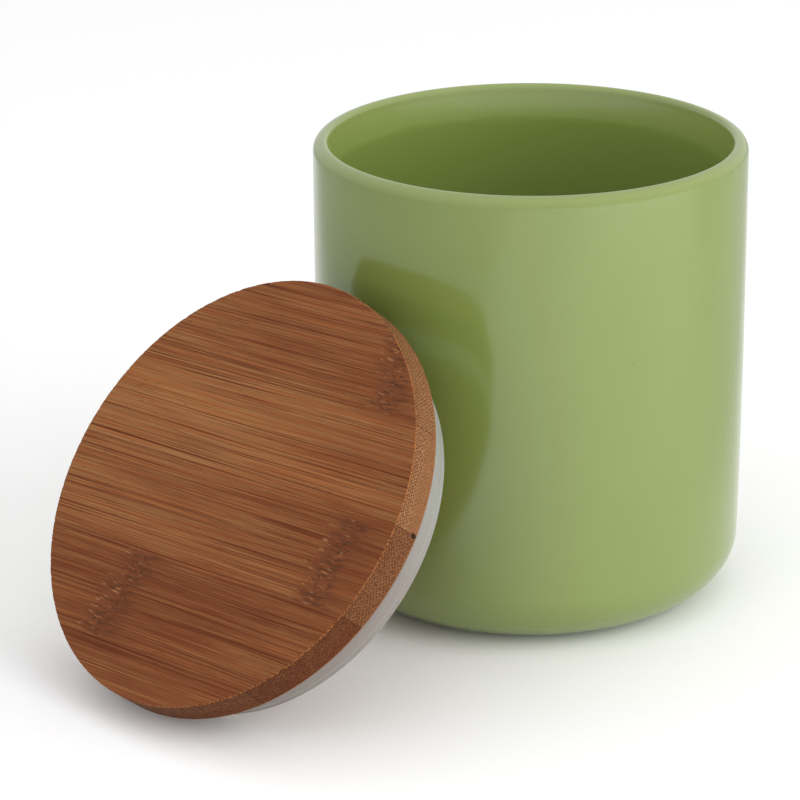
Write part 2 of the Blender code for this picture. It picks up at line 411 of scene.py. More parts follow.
def board_section():
    """Radius, inset and height of the board's levels: a small round arris, the rim, and the lower arris. The
    glue lines are a little wider at the upper arris, in its first ARRIS_LEVELS levels."""
    bend = np.radians(np.linspace(90.0, 0.0, 6))
    upper_radius = LID_RADIUS - BOARD_ARRIS * (1 - np.cos(bend))
    upper_height = BOARD_ARRIS * (np.sin(bend) - 1)
    rim_height = np.linspace(-BOARD_ARRIS, BOARD_ARRIS - BOARD_THICKNESS, 22)[1:-1]
    radius = np.concatenate([upper_radius, np.full(rim_height.size, LID_RADIUS), upper_radius[::-1]])
    height = np.concatenate([upper_height, rim_height, -BOARD_THICKNESS - upper_height[::-1]])
    inset = np.where(np.arange(radius.size) < ARRIS_LEVELS, ARRIS_INSET, 0.0) + GLUE_HALF
    return radius, inset, height


def plug_section():
    """Radius, inset and height of the plug's levels: flat top, groove for the ring, and a bevelled foot."""
    bend = np.radians(np.linspace(0.0, 90.0, 7))
    foot_radius = PLUG_RADIUS - PLUG_EDGE * (1 - np.cos(bend))
    foot_height = -PLUG_FOOT + PLUG_EDGE * (1 - np.sin(bend))
    upper = [
        (PLUG_RADIUS, -PLUG_TOP),
        (PLUG_RADIUS, -GROOVE_TOP + GROOVE_EDGE),
        (PLUG_RADIUS - GROOVE_EDGE, -GROOVE_TOP),
        (GROOVE_RADIUS, -GROOVE_TOP),
        (GROOVE_RADIUS, -GROOVE_FOOT),
        (PLUG_RADIUS - GROOVE_EDGE, -GROOVE_FOOT),
        (PLUG_RADIUS, -GROOVE_FOOT - GROOVE_EDGE),
    ]
    radius = np.concatenate([[pair[0] for pair in upper], foot_radius])
    height = np.concatenate([[pair[1] for pair in upper], foot_height])
    return radius, np.full(radius.size, PLUG_INSET), height


def board_relief(along, across, up):
    """How far the board's faces move along the lid's axis, always into the board, so that the fibres stand
    out: fine ridges along the grain, and slow waves."""
    ridges, fine, waves = [
        rough(along / length, across / width, seed) for length, width, seed in (RIDGES, FINE_RIDGES, WAVES)
    ]
    ridges = ridges + FINE_RIDGE_SHARE * fine
    depth = RIDGE_DEPTH * (ridges + (1 + FINE_RIDGE_SHARE)) + WAVE_DEPTH * (waves + 1)
    near_top = smooth_step(up, -ARRIS_FADE, 0.0)
    near_foot = smooth_step(-BOARD_THICKNESS - up, -ARRIS_FADE, 0.0)
    return depth * (near_foot - near_top)


def board_chips(along, across, up):
    """How far the rim stands back from the full radius: chips at the upper arris and faint turning marks."""
    around = np.arctan2(across, along) * LID_RADIUS
    chips = rough(around / CHIP_SIZE, up / CHIP_SIZE, 31)
    chips = np.clip(chips - CHIP_LEVEL, 0.0, None) * CHIP_DEPTH * smooth_step(up, *CHIPPED_HEIGHTS)
    marks = TURNING_DEPTH * (rough(around / TURNING_LENGTH, up / TURNING_PITCH, 32) + 1)
    at_rim = smooth_step(np.hypot(along, across), *TURNED_RADII)
    return (chips + marks) * at_rim


def strip_sides(lines):
    """The two lines that each strip of a disc lies between, from the disc's glue lines."""
    return zip((-FAR_LINE, *lines), (*lines, FAR_LINE))


def add_lid_piece(name, node, points, faces, finish):
    """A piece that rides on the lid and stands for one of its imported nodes."""
    made = make_piece(name, points, faces, finish)
    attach(made, "lid")
    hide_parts(node)


def make_board(finishes):
    """The board's strips, each a piece of its own, cut from one disc at the glue lines."""
    radius, inset, height = board_section()
    strips = zip(BOARD_NODES, finishes, strip_sides(BOARD_LINES))
    for number, (node, finish, (low, high)) in enumerate(strips, start=1):
        along, across, up, faces = strip_surface(
            radius, inset, height, low, high, BOARD_ROW_STEP, BOARD_COLUMN_STEP
        )
        relief = board_relief(along, across, up)
        inwards = 1 - board_chips(along, across, up) / LID_RADIUS
        points = lid_points(along * inwards, across * inwards, up + relief)
        add_lid_piece(f"board_strip_{number}", node, points, faces, finish)


def make_plug(finishes):
    """The plug's strips, cut from one grooved disc with their glue lines between the board's."""
    radius, inset, height = plug_section()
    strips = zip(PLUG_NODES, finishes, strip_sides(PLUG_LINES))
    for number, (node, finish, (low, high)) in enumerate(strips, start=1):
        along, across, up, faces = strip_surface(
            radius, inset, height, low, high, PLUG_ROW_STEP, PLUG_COLUMN_STEP
        )
        points = lid_points(along, across, up)
        add_lid_piece(f"plug_piece_{number}", node, points, faces, finish)


# Silicone ring


def seal_section():
    """The ring's section, a band in the groove with three soft round ribs on its outside.

    Between the tips the outside dips by a smooth wave: tip radius - dip x sin(pi x s)^2, with s from 0 to 1
    from one tip to the next, and it falls away from the first and last tips by quarter ellipses.
    """
    top_edge = (SEAL_INSIDE + SEAL_EDGE, -SEAL_TOP - SEAL_EDGE)
    stretches = [arc_points(top_edge, SEAL_EDGE, SEAL_EDGE, 180, 90, 4)]
    first_radius, first_depth = RIBS[0]
    rise = first_depth - SEAL_TOP - SEAL_SHOULDER
    stretches.append(arc_points((SEAL_ROOT, -first_depth), first_radius - SEAL_ROOT, rise, 90, 0, 10))
    for (radius, depth), (next_radius, next_depth), dip in zip(RIBS, RIBS[1:], RIB_DIPS):
        share = np.linspace(0.0, 1.0, 17)[1:]
        outside = radius + (next_radius - radius) * share - dip * np.sin(math.pi * share) ** 2
        stretches.append(np.stack([outside, -depth - (next_depth - depth) * share], axis=1))
    last_radius, last_depth = RIBS[-1]
    drop = SEAL_FOOT - last_depth - SEAL_EDGE
    stretches.append(arc_points((SEAL_ROOT, -last_depth), last_radius - SEAL_ROOT, drop, 0, -90, 10)[1:])
    foot_edge = (SEAL_INSIDE + SEAL_EDGE, -SEAL_FOOT + SEAL_EDGE)
    stretches.append(arc_points(foot_edge, SEAL_EDGE, SEAL_EDGE, -90, -180, 4))
    return np.concatenate(stretches)


def make_seal(finish):
    """The ring: its section turned round the lid's axis, with the faint waviness of soft rubber."""
    section = seal_section()
    angle = np.arange(SEAL_STEPS) * 2 * math.pi / SEAL_STEPS
    waviness = SEAL_WAVINESS * (1 + rough_round(angle, section[:, 1:], waves=12.0, size=0.02, seed=41))
    radius = section[:, :1] - waviness
    up = np.broadcast_to(section[:, 1:], radius.shape)
    points = lid_points(radius * np.cos(angle), radius * np.sin(angle), up)
    faces = grid_faces(len(section), SEAL_STEPS, round_columns=True, round_rows=True)
    add_lid_piece("silicone_ring", "seal_ring", points, faces, finish)


# Materials as expressions


class Wire:
    """One output of a node. Arithmetic on it adds the Math nodes that work it out."""

    def __init__(self, finish, socket):
        self.finish = finish
        self.socket = socket

    def math(self, operation, *values, clamp=False):
        settings = {"operation": operation, "use_clamp": clamp}
        return self.finish.node("Math", settings, dict(enumerate(values)))

    def __add__(self, other):
        return self.math("ADD", self, other)

    def __radd__(self, other):
        return self.math("ADD", other, self)

    def __sub__(self, other):
        return self.math("SUBTRACT", self, other)

    def __rsub__(self, other):
        return self.math("SUBTRACT", other, self)

    def __mul__(self, other):
        return self.math("MULTIPLY", self, other)

    def __truediv__(self, other):
        return self.math("DIVIDE", self, other)

    def __abs__(self):
        return self.math("ABSOLUTE", self)

    def most(self, other):
        """The larger of two values."""
        return self.math("MAXIMUM", self, other)

    def root(self):
        return self.math("SQRT", self)

    def kept(self):
        """The value held between 0 and 1."""
        return self.math("ADD", self, 0.0, clamp=True)

    def step(self, low, high):
        """0 below low, 1 above high, with a smooth step between; falling where low is the larger."""
        settings = {"interpolation_type": "SMOOTHSTEP", "clamp": True}
        if low < high:
            return self.finish.node("MapRange", settings, {0: self, 1: low, 2: high, 3: 0.0, 4: 1.0})
        return self.finish.node("MapRange", settings, {0: self, 1: high, 2: low, 3: 1.0, 4: 0.0})

    def band(self, start, end):
        """1 within a band and 0 outside it: one step at its start and a falling step at its end."""
        return self.step(*start) * self.step(*end)


class Finish:
    """A material of nodes with a Principled shader. node() adds any node."""

    def __init__(self, name):
        self.material = bpy.data.materials.new(name)
        self.material.use_nodes = True
        self.tree = self.material.node_tree
        self.tree.nodes.clear()

    def node(self, kind, settings, sockets, output=0):
        """Adds a node of a kind: its settings first, then its sockets' values or links, by name or number."""
        made = self.tree.nodes.new("ShaderNode" + kind)
        for key, value in settings.items():
            setattr(made, key, value)
        for key, value in sockets.items():
            if isinstance(value, Wire):
                self.tree.links.new(value.socket, made.inputs[key])
            else:
                made.inputs[key].default_value = value
        return Wire(self, made.outputs[output])

    def place(self):
        """The point on the piece, in metres."""
        return self.node("TexCoord", {}, {}, "Object")

    def lengths(self, vector, directions):
        """How far a vector reaches along each of some directions, in millimetres."""
        settings = {"operation": "DOT_PRODUCT"}
        ways = [tuple(direction * MILLIMETRES) for direction in directions]
        return [self.node("VectorMath", settings, {0: vector, 1: way}, "Value") for way in ways]

    def apart(self, vector, origin):
        """A vector less its origin."""
        return self.node("VectorMath", {"operation": "SUBTRACT"}, {0: vector, 1: origin})

    def point(self, x, y, z=0.0):
        return self.node("CombineXYZ", {}, {0: x, 1: y, 2: z})

    def noise(self, x, y, z=0.0, detail=0.0, harshness=0.5):
        """Smooth noise about one half, one wave to each whole number of its coordinates."""
        sockets = {"Vector": self.point(x, y, z), "Scale": 1.0, "Detail": detail, "Roughness": harshness}
        return self.node("TexNoise", {"noise_dimensions": "3D"}, sockets)

    def cells(self, x, y, scatter):
        """Distance from the nearest of points strewn one to each unit square."""
        settings = {"voronoi_dimensions": "2D", "feature": "F1"}
        sockets = {"Vector": self.point(x, y), "Scale": 1.0, "Randomness": scatter}
        return self.node("TexVoronoi", settings, sockets, "Distance")

    def mix(self, factor, first, second):
        """A colour between two, by a factor."""
        sockets = {0: factor, 6: first, 7: second}
        return self.node("Mix", {"data_type": "RGBA", "clamp_factor": True}, sockets, 2)

    def scaled(self, colour, factor):
        """A colour made lighter or darker by a value."""
        return self.node("VectorMath", {"operation": "SCALE"}, {0: colour, "Scale": factor})

    def bump(self, height, strength, distance):
        """A normal that is tilted by the slopes of a height."""
        sockets = {"Strength": strength, "Distance": distance, "Height": height}
        return self.node("Bump", {}, sockets, "Normal")

    def done(self, sockets):
        """Joins the Principled shader to the output and returns the material."""
        shader = self.node("BsdfPrincipled", {}, sockets)
        output = self.tree.nodes.new("ShaderNodeOutputMaterial")
        self.tree.links.new(shader.socket, output.inputs["Surface"])
        return self.material


# Glaze


GLAZE = (0.167, 0.2195, 0.050, 1.0)
# Paler green for thin glaze, and also painted light: the lip's painted highlight and the lit band inside the
# mouth.
THIN_AND_LIT_GLAZE = (0.208, 0.258, 0.074, 1.0)
# A lighter copy of the outside's green for the inside: painted light.
LIT_GLAZE_INSIDE = (0.187, 0.256, 0.058, 1.0)
GLAZE_SPECK = (0.05, 0.05, 0.02, 1.0)
CLAY = (0.62, 0.53, 0.40, 1.0)

# Where the glaze changes, in millimetres. The lip's and the painted lit band's heights are measured from the
# rim. A pair says where a change begins and where it is full.
LIP_HEIGHTS = (-2.0, -0.3)
LIT_BAND_RADII = (47.8, 47.2)
LIT_BAND_HEIGHTS = (-8.4, -7.2)
# Where the inside's painted lighter tone begins and is full.
INSIDE_RADII = (46.6, 45.6)
INSIDE_HEIGHTS = (4.0, 6.0)
BARE_RADII = ((29.6, 30.2), (34.6, 34.1))
BARE_HEIGHTS = (0.75, 0.45)


def glaze_finish():
    """Glossy green glaze over pale clay. Its depth changes slowly, and it is thinner and paler over the lip,
    partly real thin glaze and partly a painted highlight. A band just inside the mouth is painted paler and
    brighter: painted light where light falls in over the rim. The inside is painted lighter than the outside:
    painted light on the inside walls. It has a few iron specks. The foot ring is bare clay."""
    f = Finish("green_glaze_finish")
    x, y, z = f.lengths(f.place(), np.eye(3))
    radius = (x * x + y * y).root()
    from_rim = z - JAR_HEIGHT * MILLIMETRES
    depth = f.noise(x / 17, y / 17, z / 26, detail=2.0)
    grain = f.noise(x / 0.7, y / 0.7, z / 0.7, detail=1.0)
    # The lip is paler: partly real thin glaze, partly a painted highlight.
    lip = from_rim.step(*LIP_HEIGHTS)
    thin_and_lit = (lip * 0.95 + (depth - 0.5) * 0.5 + (grain - 0.5) * 0.10 + 0.12).kept()
    # The inside walls are painted lighter: painted light.
    inside = radius.step(*INSIDE_RADII) * z.step(*INSIDE_HEIGHTS)
    colour = f.mix(inside * 0.9, f.mix(thin_and_lit, GLAZE, THIN_AND_LIT_GLAZE), LIT_GLAZE_INSIDE)
    # Painted light: a band just under the rim, inside, painted paler and brighter where light falls in over
    # the rim.
    band = radius.step(*LIT_BAND_RADII) * (from_rim + (depth - 0.5) * 2.0).step(*LIT_BAND_HEIGHTS)
    colour = f.scaled(f.mix(band * 0.6, colour, THIN_AND_LIT_GLAZE), band * 0.09 + 1.0)
    specks = f.noise(x / 0.45 + 7.0, y / 0.45, z / 0.45).step(0.855, 0.885)
    colour = f.mix(specks * 0.6, colour, GLAZE_SPECK)
    ring = radius.band(*BARE_RADII) * z.step(*BARE_HEIGHTS)
    ragged = f.noise(x / 2.5, y / 2.5, z / 2.5, detail=2.0)
    bare = (ring + (ragged - 0.5) * 0.4).step(0.45, 0.6)
    colour = f.mix(bare, colour, CLAY)
    ripple = f.noise(x / 6.0, y / 6.0, z / 6.0, detail=2.0) + grain * 0.05
    return f.done(
        {
            "Base Color": colour,
            "Roughness": bare * 0.6 + 0.16 + (ripple - 0.5) * 0.04,
            "IOR": 1.52,
            "Specular IOR Level": 0.78,
            "Normal": f.bump(ripple, 0.12, 0.0002),
        }
    )


# Bamboo


FACE_LIGHT = (0.318, 0.144, 0.0500, 1.0)
FACE_RED = (0.310, 0.110, 0.0330, 1.0)
FACE_DARK = (0.142, 0.0350, 0.0095, 1.0)
STREAK = (0.104, 0.0225, 0.0050, 1.0)
SMUDGE = (0.060, 0.0270, 0.0130, 1.0)
END_LIGHT = (0.302, 0.147, 0.0630, 1.0)
END_DARK = (0.104, 0.0280, 0.0085, 1.0)
BUNDLE = (0.040, 0.0125, 0.0055, 1.0)
KNUCKLE = (0.172, 0.050, 0.0170, 1.0)
SMOKE = (0.074, 0.0260, 0.0100, 1.0)
CURL = (0.360, 0.165, 0.065, 1.0)
ARRIS = (0.330, 0.125, 0.038, 1.0)
# Near-black: dark glue, and the painted shade of hollows.
GLUE_AND_HOLLOW_SHADE = (0.016, 0.007, 0.004, 1.0)

# The board's and the plug's roughness, how far each strip's pattern is moved from the last one's, and, in
# millimetres, how far a strip fades its tone, and how far its fibres and its knuckle's line wander
LACQUERED_ROUGHNESS = 0.48
TURNED_ROUGHNESS = 0.62
SEED_SHIFT = 31.7
FADE_LENGTH = 50.0
FIBRE_WAVINESS = 1.5
KNUCKLE_WANDER = 9.0

# A knuckle's marks, in millimetres past its line: where each begins and is full, and where it ends and is
# full. The last four lie about a place past the line, and say how far from it they end and are full.
SWELLING = ((-5.0, -0.5), (4.0, 0.5))
SMOOTH = ((-0.5, 1.5), (13.0, 4.0))
CLOUDED = ((-4.5, -0.8), (6.0, 2.0))
TORN = ((-8.0, -4.0), (3.0, 0.5))
CURLED_PLACE, CURLED = -1.0, (6.0, 0.5)
SCARRED_PLACE, SCARRED = -0.5, (6.5, 1.0)
SMEARED_PLACE, SMEARED = 0.8, (9.5, 1.0)
PITTED_PLACE, PITTED = -0.8, (4.0, 1.6)

# The rim's marks, in millimetres up from the board's top face: where each begins and is full
SMALL_DOTS = (-3.4, -1.8)
PLAIN_WOOD = (-2.4, -5.0)
DARK_SKIN = (-1.5, -0.1)
VOID = (-5.3, -6.0)
UPPER_EDGE = (-0.42, -0.12)
LOWER_EDGE = (0.60 - BOARD_THICKNESS * MILLIMETRES, 0.15 - BOARD_THICKNESS * MILLIMETRES)

# Where the rim begins and is full, outwards from the disc's radius, and where glue's stain ends and is full,
# from its line. Then how irregular the dots are, and how much further apart the large ones.
RIM_EDGE = (-0.28, -0.06)
GLUE_LINE = (0.13, 0.02)
DOT_SCATTER = 0.47
LARGE_SPACING = 1.18


def lid_coordinates(f):
    """The point in the lid's directions, in millimetres: along the grain, across it, up from the top face."""
    return f.lengths(f.apart(f.place(), tuple(LID_MIDDLE)), LID_AXES)


class Grain:
    """A strip's directions in millimetres, and noise that follows them.

    a runs along the grain, c across it and h up from the board's top face. bent is c with the fibres'
    waviness, which a knuckle adds to. A noise is told the length, width and depth of one wave, and how far it
    is moved.
    """

    def __init__(self, f, seed):
        self.f = f
        self.a, self.c, self.h = lid_coordinates(f)
        self.shift = SEED_SHIFT * seed
        self.bent = self.c + (self.patches(length=80, width=9, depth=9) - 0.5) * FIBRE_WAVINESS

    def patches(self, length, width, depth, moved=0.0, **kind):
        """Noise that keeps to the straight directions."""
        along = self.a / length + (self.shift + moved)
        return self.f.noise(along, self.c / width, self.h / depth, **kind)

    def fibres(self, length, width, depth, moved=0.0, **kind):
        """Noise that is drawn out along the bent fibres."""
        along = self.a / length + (self.shift + moved)
        return self.f.noise(along, self.bent / width, self.h / depth, **kind)


def bend_at_knuckle(g, along, across, lean, reach):
    """Bends the fibres where a knuckle of the cane crosses them: a swelling, and curls close to it. Returns
    how far past the knuckle's wandering line a point lies, and a mask: 1 within its reach to either side."""
    wander = g.f.noise(g.c / 3.6 + g.shift, g.h / 4 + g.shift, detail=2.0) - 0.5
    past = g.a - along - (g.c - across) * lean + wander * KNUCKLE_WANDER
    within = abs(g.c - across).step(reach + 0.7, reach - 0.5)
    curl = g.patches(length=4.2, width=2.6, depth=2, detail=1.0) - 0.5
    curls = curl * abs(past - CURLED_PLACE).step(*CURLED)
    g.bent = g.bent + (past.band(*SWELLING) * 0.40 + curls * 1.5) * within
    return past, within


def dark_streaks(g):
    """Long dark bundles of fibre, strong ones and weak ones, clearer in some places than in others."""
    strong = g.fibres(length=110, width=0.50, depth=2, moved=3.0).step(0.575, 0.675)
    weak = g.fibres(length=75, width=0.26, depth=1.5, moved=4.0).step(0.54, 0.70)
    clear = g.fibres(length=30, width=1.6, depth=3, moved=5.0).step(0.32, 0.64)
    return strong * (clear * 0.40 + 0.38) + weak * (clear * 0.36 + 0.20)


def face_wood(g, tone, fine, streak):
    """The wood of a face: light and red, darker and lighter by broad fibres and fine ones, with dark streaks
    and faint short smudges."""
    f = g.f
    slow = g.patches(length=90, width=5.5, depth=5) - 0.5
    broad = g.fibres(length=48, width=1.4, depth=2, detail=1.0) - 0.5
    red = g.fibres(length=34, width=0.85, depth=2, moved=8.0, detail=1.0).step(0.38, 0.62)
    shade = tone + slow * 0.45 + broad * 0.50 + fine
    colour = f.mix(shade.kept(), FACE_DARK, f.mix(red, FACE_LIGHT, FACE_RED))
    colour = f.mix(streak.kept(), colour, STREAK)
    smudge = f.cells(g.bent / 1.5 + (g.shift + 2.0), g.a / 9.5 + g.h / 3, 0.95).step(0.15, 0.02)
    dirty = g.patches(length=11, width=4.0, depth=3, moved=1.0).step(0.50, 0.66)
    return f.mix(smudge * dirty * 0.40, colour, SMUDGE)


def knuckle_marks(g, face, past, within, scar_zone):
    """A face with the marks of its knuckle: a blotched scar, smoky smears along the fibres, smoky clouds,
    light torn fibres, and dark pits."""
    f = g.f
    scar = g.patches(length=3.0, width=1.7, depth=2, detail=3.0)
    face = f.mix((scar_zone * (scar * 3.4 - 1.2)).kept() * 0.75, face, KNUCKLE)
    smear = g.fibres(length=6.5, width=0.75, depth=2, moved=2.0, detail=1.0).step(0.44, 0.66)
    smeared = abs(past - SMEARED_PLACE).step(*SMEARED)
    face = f.mix(smear * smeared * within * 0.66, face, SMOKE)
    cloud = g.patches(length=1.9, width=1.0, depth=2, moved=6.0, detail=3.0, harshness=0.6).step(0.49, 0.62)
    face = f.mix(cloud * past.band(*CLOUDED) * within * 0.72, face, SMOKE)
    tear = f.noise(g.a / 3.2 + g.shift, (g.c + g.a * 0.10) / 0.45, g.h / 2, detail=1.0).step(0.58, 0.66)
    picked = g.patches(length=3, width=1.2, depth=2, moved=7.0).step(0.46, 0.56)
    face = f.mix(tear * picked * past.band(*TORN) * within * 0.60, face, CURL)
    pit = f.cells(g.a / 1.7 + g.shift, g.c / 1.5, 1.0).step(0.17, 0.08)
    chosen = g.patches(length=1.5, width=1.5, depth=2, moved=3.0).step(0.56, 0.61)
    pitted = abs(past - PITTED_PLACE).step(*PITTED)
    return f.mix(pit * chosen * pitted * within * 0.80, face, GLUE_AND_HOLLOW_SHADE)


def end_grain(g, strip, hair):
    """The rim, where the fibres end, and its dots. The bundles are dots in slanting rows, small and close by
    the top face, which was the cane's outer side, and larger and further apart below, where some strips turn
    plain. A thin skin under the top face is darker."""
    f, c, h = g.f, g.c, g.h
    near = strip["spacing"]
    far = near * LARGE_SPACING
    rise = c * 0.80 + h * 0.60
    fall = h * 0.72 - c * 0.60
    small = f.cells(rise / near + g.shift, fall / near, DOT_SCATTER).step(0.45, 0.23)
    large = f.cells(rise / far + (g.shift + 9.0), fall / far, DOT_SCATTER).step(0.43, 0.21)
    drift = (f.noise(c / 2.2 + g.shift, h / 2.2, g.a / 9) - 0.5) * 1.6
    upper = (h + drift).step(*SMALL_DOTS)
    plain = h.step(*PLAIN_WOOD) * strip["plain"]
    dots = (small * upper + large * (1 - upper) * 0.9) * (1 - plain)
    mottle = g.patches(length=3, width=1.4, depth=1.1, detail=3.0, harshness=0.7) - 0.5
    skin = h.step(*DARK_SKIN) * (strip["rim"] * 0.22)
    shade = strip["rim"] + mottle * 0.7 + hair * 0.4 - skin - plain * 0.35
    return f.mix(dots * 0.78, f.mix(shade.kept(), END_DARK, END_LIGHT), BUNDLE), dots


def glue_and_edges(g, strip, colour, at_rim, low, high):
    """A strip with dark glue along its sides, the void in the glue if it has one, its hollow drawn as painted
    shade, and the light frayed fibres along the rim's upper and lower edges."""
    f, a, c, h = g.f, g.a, g.c, g.h
    sides = (c - low * MILLIMETRES).step(*GLUE_LINE) + (high * MILLIMETRES - c).step(*GLUE_LINE)
    colour = f.mix((sides * (0.22 + at_rim * 0.35)).kept(), colour, GLUE_AND_HOLLOW_SHADE)
    if strip["void"]:
        line, half_width = strip["void"]
        gap = abs(c - line) / half_width + (f.noise(c / 0.3, h / 0.3) - 0.5) * 0.8
        # The void's hollow is drawn as near-black colour: painted shade.
        hollow_shade = gap.step(1.1, 0.7) * h.step(*VOID) * at_rim * a.step(0.0, 1.0)
        colour = f.mix(hollow_shade * 0.95, colour, GLUE_AND_HOLLOW_SHADE)
    splinters = g.patches(length=0.6, width=0.5, depth=3).step(0.40, 0.56)
    upper_edge = h.step(*UPPER_EDGE) * (splinters * 0.95 + 0.05)
    lower_edge = h.step(*LOWER_EDGE) * 0.55
    frayed = ((upper_edge + lower_edge) * at_rim).kept()
    return f.mix(frayed * strip["arris"], colour, ARRIS)


def bamboo_finish(name, seed, strip, low, high, radius, roughness):
    """Brown bamboo. Dark bundles of fibre run along the grain through softer, lighter wood: long thin streaks
    on the faces, dots on the rim. Where a knuckle of the cane crosses the strip, the fibres bend and are
    scarred."""
    f = Finish(name)
    g = Grain(f, seed)
    tone = g.a * (-strip["fade"] / FADE_LENGTH) + strip["tone"]
    calm = 1.0
    if strip["knuckle"]:
        past, within = bend_at_knuckle(g, *strip["knuckle"])
        scar_zone = abs(past - SCARRED_PLACE).step(*SCARRED) * within
        smooth_zone = past.band(*SMOOTH) * within
        calm = (1 - scar_zone * 0.65) * (1 - smooth_zone * 0.35)
        tone = tone - smooth_zone * 0.08 - scar_zone * 0.14
    thread = g.fibres(length=40, width=0.25, depth=0.5, detail=1.0) - 0.5
    hair = g.fibres(length=12, width=0.12, depth=0.4, detail=1.0, harshness=0.7) - 0.5
    streak = dark_streaks(g)
    face = face_wood(g, tone, (thread * 1.5 + hair * 1.3) * calm, streak * calm)
    if strip["knuckle"]:
        face = knuckle_marks(g, face, past, within, scar_zone)
    at_rim = ((g.a * g.a + g.c * g.c).root() - radius).step(*RIM_EDGE)
    end, dots = end_grain(g, strip, hair)
    colour = glue_and_edges(g, strip, f.mix(at_rim, face, end), at_rim, low, high)
    relief = thread * 0.5 + hair * 0.3 - streak * 0.5 - dots * at_rim * 0.9
    return f.done(
        {
            "Base Color": colour,
            "Roughness": (streak * 0.10 + at_rim * 0.25 + roughness).kept(),
            "IOR": 1.45,
            "Specular IOR Level": 0.13,
            "Normal": f.bump(relief, 0.20, 0.00012),
        }
    )


# Strip by strip: the tone of its face and of its rim, from dark to light, how much its face darkens in 50 mm
# along the grain, the spacing of its bundles by the top face in millimetres, how plain its rim is low down,
# how clear the light fibres along its edges are, its knuckle, and the void in the glue that its rim shows. A
# knuckle is how far along and across the grain it lies, the lean of its band, and its reach to either side. A
# void is its place across the grain and its half width.
GLUE_VOID = (3.6, 0.55)
BOARD_STRIPS = (
    {"tone": 0.27, "rim": 0.19, "fade": 0.0, "spacing": 0.54, "plain": 0.30, "arris": 0.8,
     "knuckle": None, "void": None},
    {"tone": 0.27, "rim": 0.08, "fade": -0.08, "spacing": 0.60, "plain": 0.10, "arris": 0.8,
     "knuckle": (-17.8, -29.4, 0.244, 10.4), "void": None},
    {"tone": 0.48, "rim": 0.28, "fade": 0.20, "spacing": 0.62, "plain": 0.0, "arris": 0.8,
     "knuckle": (38.4, -8.3, 0.081, 10.4), "void": GLUE_VOID},
    {"tone": 0.70, "rim": 0.72, "fade": 0.12, "spacing": 0.61, "plain": 0.55, "arris": 0.9,
     "knuckle": None, "void": GLUE_VOID},
    {"tone": 0.46, "rim": 0.66, "fade": 0.10, "spacing": 0.52, "plain": 0.08, "arris": 0.9,
     "knuckle": (31.6, 36.6, -0.20, 10.4), "void": None},
    {"tone": 0.42, "rim": 0.90, "fade": 0.0, "spacing": 0.54, "plain": 0.0, "arris": 0.9,
     "knuckle": None, "void": None},
)
PLUG_STRIPS = tuple(
    {"tone": tone, "rim": tone, "fade": 0.0, "spacing": 0.62, "plain": 0.0, "arris": 0.5,
     "knuckle": None, "void": None}
    for tone in (0.50, 0.42, 0.55, 0.46, 0.50)
)


def strip_finishes(kind, strips, lines, radius, roughness):
    """A finish for each strip of a disc, between its glue lines."""
    return [
        bamboo_finish(f"{kind}_finish_{number}", number, strip, *sides, radius * MILLIMETRES, roughness)
        for number, (strip, sides) in enumerate(zip(strips, strip_sides(lines)), start=1)
    ]


# Silicone and paper


# The ring's lit, greener tone above and its shaded, warmer tone below: painted light and shade.
LIT_SILICONE = (0.256, 0.262, 0.236, 1.0)
SHADED_WARM_SILICONE = (0.228, 0.196, 0.178, 1.0)

# Across the grain, in millimetres: where the ring begins to be painted darker and warm, and where it is fully
# so
SHADED_WARM_ACROSS = (26.0, -14.0)


def silicone_finish():
    """Translucent grey-white silicone: milky inside, satin outside, with faint clouds and moulding haze. Its
    upper side is painted lighter and greener, painted light and a painted reflection of the green jar, and
    its lower side is painted darker and warmer, painted shade.
    """
    f = Finish("grey_silicone_finish")
    a, c, h = lid_coordinates(f)
    cloud = f.noise(a / 9, c / 9, h / 3, detail=2.0)
    haze = f.noise(a / 0.8, c / 0.8, h / 0.25, detail=1.0)
    # Painted light and shade: lighter and greener up the lid, darker and warmer down it, with clouds and
    # haze.
    shaded_warm = c.step(*SHADED_WARM_ACROSS) * 0.9 + (cloud - 0.5) * 0.6 + (haze - 0.5) * 0.3
    colour = f.mix(shaded_warm.kept(), LIT_SILICONE, SHADED_WARM_SILICONE)
    return f.done(
        {
            "Base Color": colour,
            "Roughness": 0.30 + (haze - 0.5) * 0.10,
            "IOR": 1.43,
            "Subsurface Weight": 0.35,
            "Subsurface Radius": (0.0022, 0.0022, 0.0020),
            "Subsurface Scale": 1.0,
            "Normal": f.bump(haze, 0.06, 0.0001),
        }
    )


# The darkest and the lightest tone of the paper's mottling
WHITE_PAPER = ((0.93, 0.93, 0.93, 1.0), (0.95, 0.95, 0.95, 1.0))
GREY_PAPER = ((0.60, 0.60, 0.60, 1.0), (0.63, 0.63, 0.63, 1.0))

# The floor's white sweep, in millimetres: where it starts, how far its left and right edges stand apart as a
# share of the way from there, and where the right edge begins
SWEEP_START = (-30.0, -900.0)
SWEEP_LEFT = (-0.10, -0.19)
SWEEP_RIGHT = (0.10, 0.19)
SWEEP_RIGHT_BEGINS = (-80.0, 60.0)


def floor_finish():
    """Faintly mottled paper: a white sweep that widens from its start in the direction of +y, and pale grey
    to either side of it."""
    f = Finish("studio_floor_finish")
    x, y = f.lengths(f.place(), np.eye(3)[:2])
    mottle = f.noise(x / 3, y / 3, detail=2.0)
    white = f.mix(mottle, *WHITE_PAPER)
    grey = f.mix(mottle, *GREY_PAPER)
    side = (x - SWEEP_START[0]) / (y - SWEEP_START[1]).most(50.0)
    aside = side.step(*SWEEP_LEFT) + side.step(*SWEEP_RIGHT) * y.step(*SWEEP_RIGHT_BEGINS)
    return f.done({"Base Color": f.mix(aside, white, grey), "Roughness": 0.9})


# Studio


